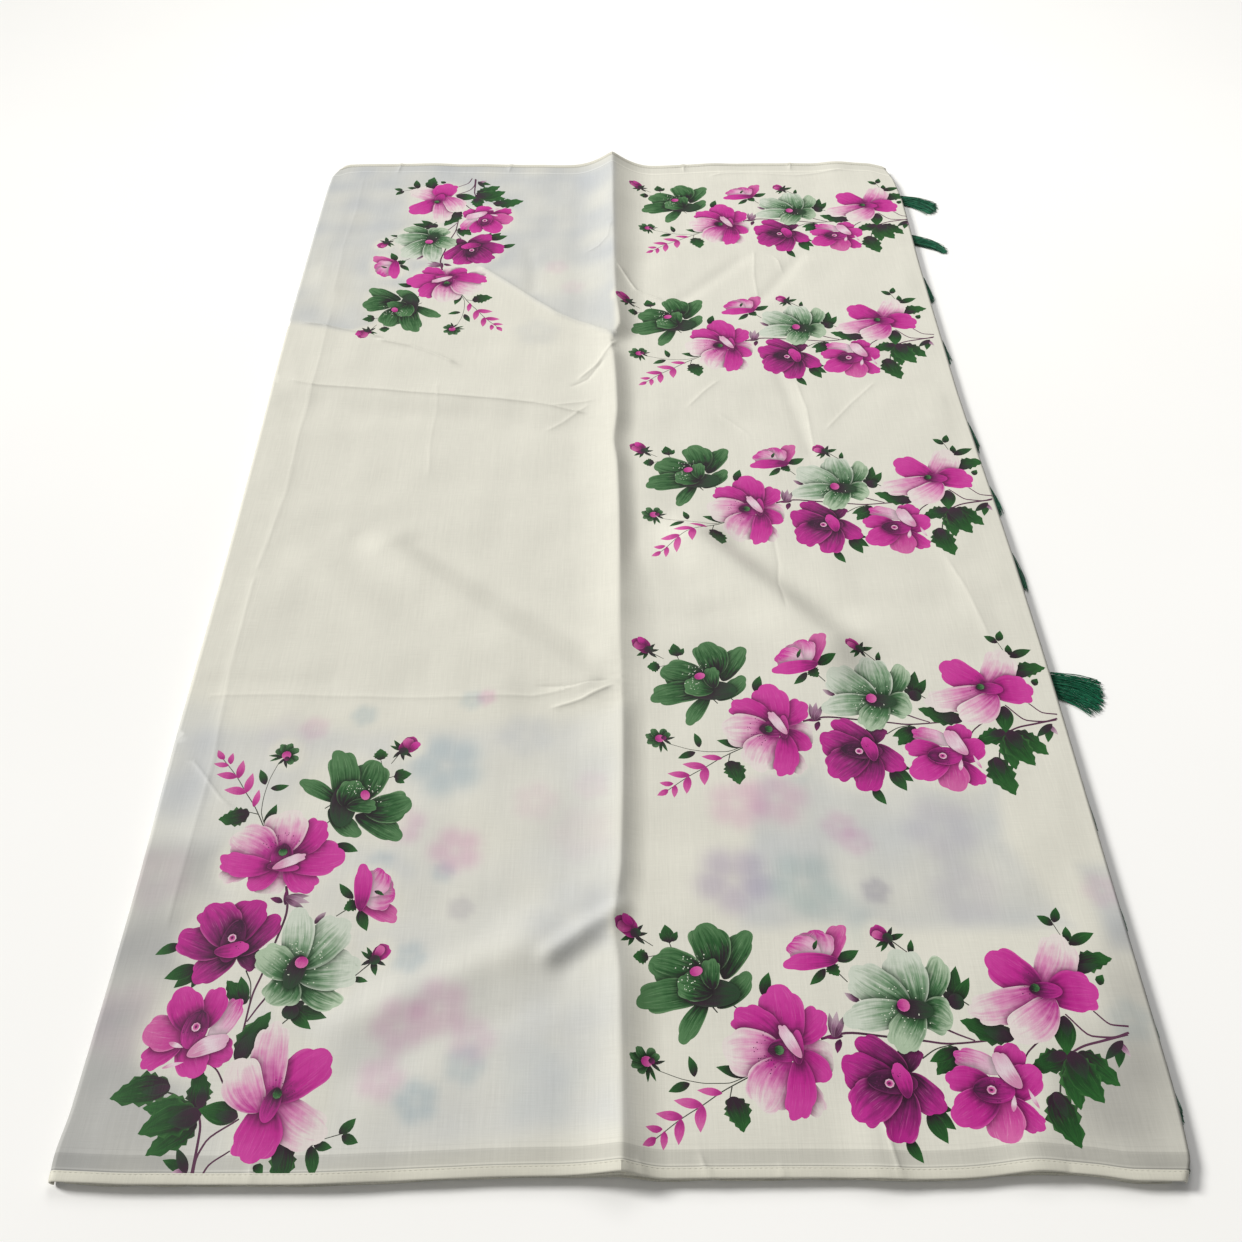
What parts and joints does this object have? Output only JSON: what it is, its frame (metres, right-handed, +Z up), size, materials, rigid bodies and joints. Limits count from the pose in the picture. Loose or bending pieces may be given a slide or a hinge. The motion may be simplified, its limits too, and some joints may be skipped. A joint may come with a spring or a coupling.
{
  "type": "folded sari",
  "caption": "Sari folded to a long flat pad, with a raised middle crease, hemmed selvedges and thread tassels along one side.",
  "frame": {"origin": "bottom centre of the folded sari's bounding box, tassels included, on the surface that it lies on", "axes": "+Y along the folded length, from the near selvedge to the far one; +X to the side with the tassels; +Z up"},
  "size_m": [0.7022, 1.1554, 0.0249],
  "materials": {
    "printed_cloth": "matte cream cotton-silk with a slight sheen",
    "hidden_layers": "the same cloth in shade",
    "tassel_thread": "dark green silky thread"
  },
  "bodies": {
    "root": {"body_stretch": "printed_cloth", "pallu_stretch": "printed_cloth", "near_hem_body": "printed_cloth", "near_hem_pallu": "printed_cloth", "far_hem_body": "printed_cloth", "far_hem_pallu": "printed_cloth", "folded_layers": "hidden_layers", "open_tassel_1": "tassel_thread", "open_tassel_2": "tassel_thread", "open_tassel_3": "tassel_thread", "tucked_tassel_1": "tassel_thread", "tucked_tassel_2": "tassel_thread", "tucked_tassel_3": "tassel_thread", "tucked_tassel_4": "tassel_thread", "tucked_tassel_5": "tassel_thread", "tucked_tassel_6": "tassel_thread", "tucked_tassel_7": "tassel_thread", "tucked_tassel_8": "tassel_thread", "tucked_tassel_9": "tassel_thread", "tucked_tassel_10": "tassel_thread"}
  },
  "joints": []
}
